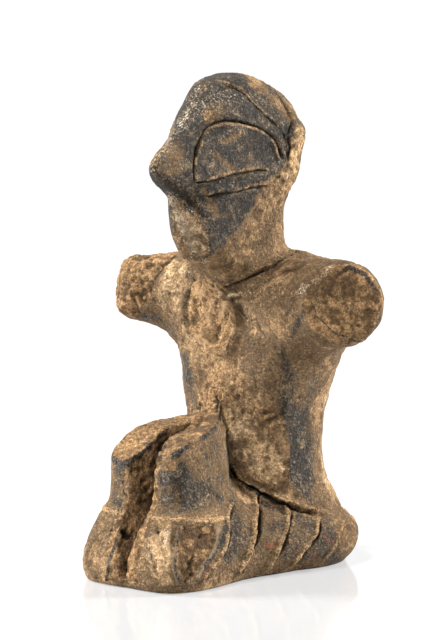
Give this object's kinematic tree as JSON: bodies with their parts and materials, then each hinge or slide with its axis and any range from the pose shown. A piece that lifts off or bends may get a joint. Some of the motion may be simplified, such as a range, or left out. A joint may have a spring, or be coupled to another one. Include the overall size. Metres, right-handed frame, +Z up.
{
  "type": "seated figurine",
  "caption": "Seated figurine of fired clay with a beaked mask face, broken-off arms and knees, and a pleated skirt over folded legs, solid, standing on its flat underside.",
  "frame": {"origin": "middle of the figurine's box in plan, on the surface it stands on", "axes": "the figure faces -Y, its left arm is on +X, +Z is up"},
  "size_m": [0.1016, 0.0892, 0.1537],
  "materials": {
    "fired_clay": "matt, burnished in places, tan with charcoal patches"
  },
  "bodies": {
    "root": {"figurine": "fired_clay"}
  },
  "joints": []
}
